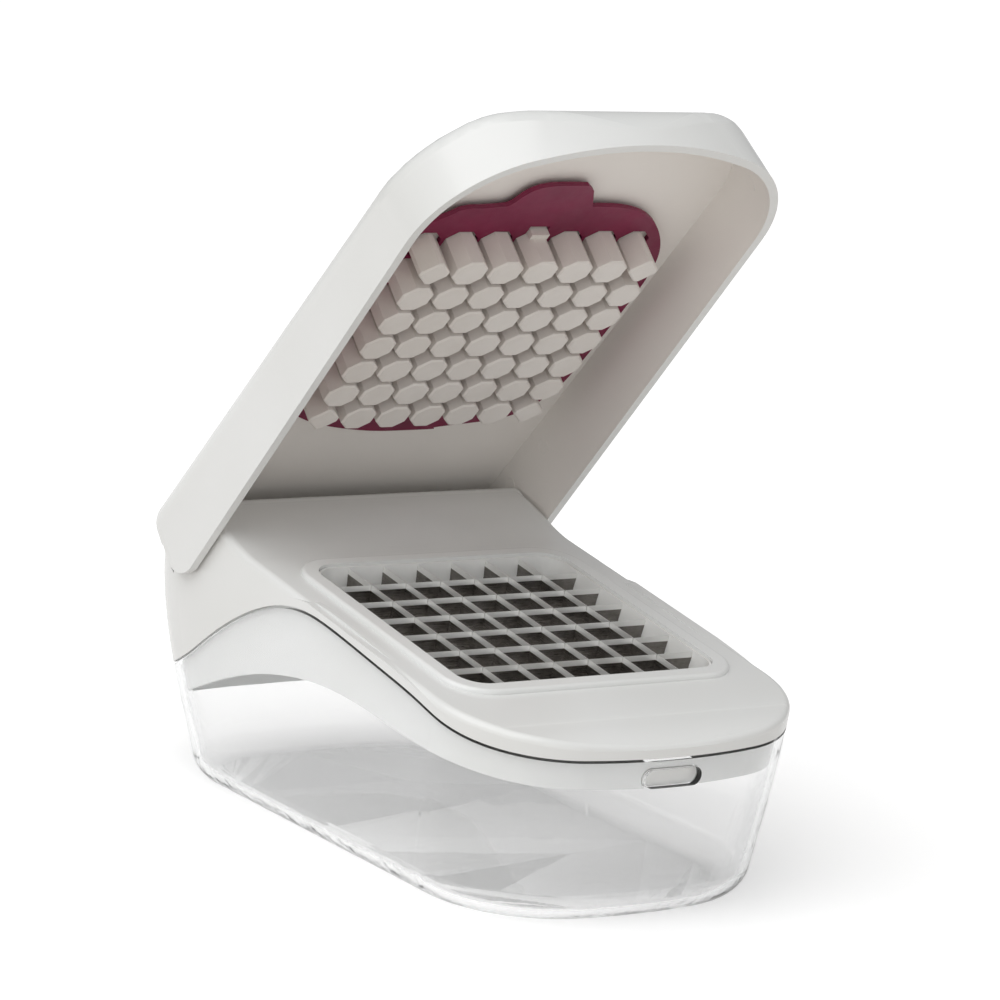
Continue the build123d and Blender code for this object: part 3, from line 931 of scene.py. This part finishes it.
@dataclass
class Studio:
    """The pale floor, the soft light and the camera.

    Attributes:
        floor_size: Side of the floor in metres.
        floor_colour: Colour of the floor.
        floor_lift: Light that the paper adds of its own.
        floor_bounce: Colour of the floor as matt surfaces see it.
        sky: Strength of the even light from all round.
        sun_from: Direction of the large overhead screen.
        sun_strength: Strength of that screen.
        sun_spread: Angle that it fills, in degrees.
        camera_at: Camera's place in millimetres.
        azimuth: Direction the camera looks from, in degrees from the front.
        elevation: Its height over the horizon in degrees.
        roll: Its turn about its own line of sight in degrees.
        lens: Focal length in millimetres.
        sensor: Width of the camera's picture plane in millimetres.
        reach: Nearest and farthest distance that the camera sees, in metres.
        boxes: The studio's lamps.
    """

    floor_size: float = 40.0
    floor_colour: str = "#F8F8F8"
    floor_lift: float = 0.3
    floor_bounce: str = "#DEDAD6"
    sky: float = 0.42
    sun_from: tuple[float, float, float] = (-0.5, -0.12, 0.88)
    sun_strength: float = 1.5
    sun_spread: float = 70.0
    camera_at: tuple[float, float, float] = (-717.6, -1014.5, 352.5)
    azimuth: float = -35.16
    elevation: float = 11.48
    roll: float = 5.23
    lens: float = 159.29
    sensor: float = 36.0
    reach: tuple[float, float] = (0.05, 100.0)
    boxes: tuple[SoftBox, ...] = (
        SoftBox("side_box", (-1.7, -0.6, 0.7), (0.0, 0.0, 0.1), 1.9, 7.0),
        SoftBox("front_box", (-0.3, -1.9, 0.35), (0.0, 0.0, 0.2), 1.0, 3.0),
    )

    def build(self) -> None:
        """Sets floor, light and camera."""
        self.lay_floor()
        self.set_sky()
        self.hang_screen()
        for box in self.boxes:
            box.hang()
        self.set_camera()
        settings = bpy.context.scene.view_settings
        settings.view_transform = "Standard"
        settings.look = "None"

    def lay_floor(self) -> None:
        """Lays the pale floor."""
        bm = bmesh.new()
        bmesh.ops.create_grid(bm, x_segments=1, y_segments=1, size=self.floor_size / 2)
        mesh = bpy.data.meshes.new("studio_floor")
        bm.to_mesh(mesh)
        bm.free()
        floor = bpy.data.objects.new("studio_floor", mesh)
        bpy.context.scene.collection.objects.link(floor)
        material, tree = new_material("pale_studio_paper")
        paper = add_node(
            tree,
            "BsdfPrincipled",
            {},
            {
                "Base Color": linear(self.floor_colour),
                "Roughness": 0.9,
                "Specular IOR Level": 0.1,
                "Emission Color": linear("#FFFFFF"),
                "Emission Strength": self.floor_lift,
            },
        )
        # matt surfaces get less light from below than the bright paper would send
        dim = add_node(tree, "BsdfDiffuse", {}, {"Color": linear(self.floor_bounce)})
        path = add_node(tree, "LightPath")
        shader = add_node(
            tree,
            "MixShader",
            {},
            {0: path.outputs["Is Diffuse Ray"], 1: paper.outputs[0], 2: dim.outputs[0]},
        )
        finish_surface(tree, shader.outputs[0])
        mesh.materials.append(material)

    def set_sky(self) -> None:
        """Sets the even light from all round."""
        world = bpy.data.worlds.new("studio_sky")
        world.use_nodes = True
        background = world.node_tree.nodes["Background"]
        background.inputs["Color"].default_value = linear("#FFFFFF")
        background.inputs["Strength"].default_value = self.sky
        bpy.context.scene.world = world

    def hang_screen(self) -> None:
        """Hangs the large overhead screen, which lights the whole floor alike."""
        data = bpy.data.lights.new("overhead_screen", "SUN")
        data.energy = self.sun_strength
        data.angle = math.radians(self.sun_spread)
        screen = bpy.data.objects.new("overhead_screen", data)
        screen.rotation_euler = Vector(self.sun_from).to_track_quat("Z", "Y").to_euler()
        bpy.context.scene.collection.objects.link(screen)

    def set_camera(self) -> None:
        """Sets the camera."""
        a = math.radians(self.azimuth)
        e = math.radians(self.elevation)
        r = math.radians(self.roll)
        back = Vector((math.sin(a) * math.cos(e), -math.cos(a) * math.cos(e), math.sin(e)))
        right = Vector((math.cos(a), math.sin(a), 0.0))
        up = back.cross(right)
        x = right * math.cos(r) + up * math.sin(r)
        y = up * math.cos(r) - right * math.sin(r)
        data = bpy.data.cameras.new("camera")
        data.lens = self.lens
        data.sensor_width = self.sensor
        data.clip_start, data.clip_end = self.reach
        camera = bpy.data.objects.new("camera", data)
        camera.matrix_world = Matrix.Translation(Vector(self.camera_at) * MM) @ (
            Matrix((x, y, back)).transposed().to_4x4()
        )
        bpy.context.scene.collection.objects.link(camera)
        bpy.context.scene.camera = camera


def main() -> None:
    """Builds the dicer's looks in order and reports each piece."""
    logging.basicConfig(level=logging.INFO, format="%(message)s")
    Studio().build()
    for part in (Tub(), Housing(), Lid()):
        for piece in part.build():
            log.info("%s: %s", type(part).__name__, piece)


if __name__ == "__main__":
    main()
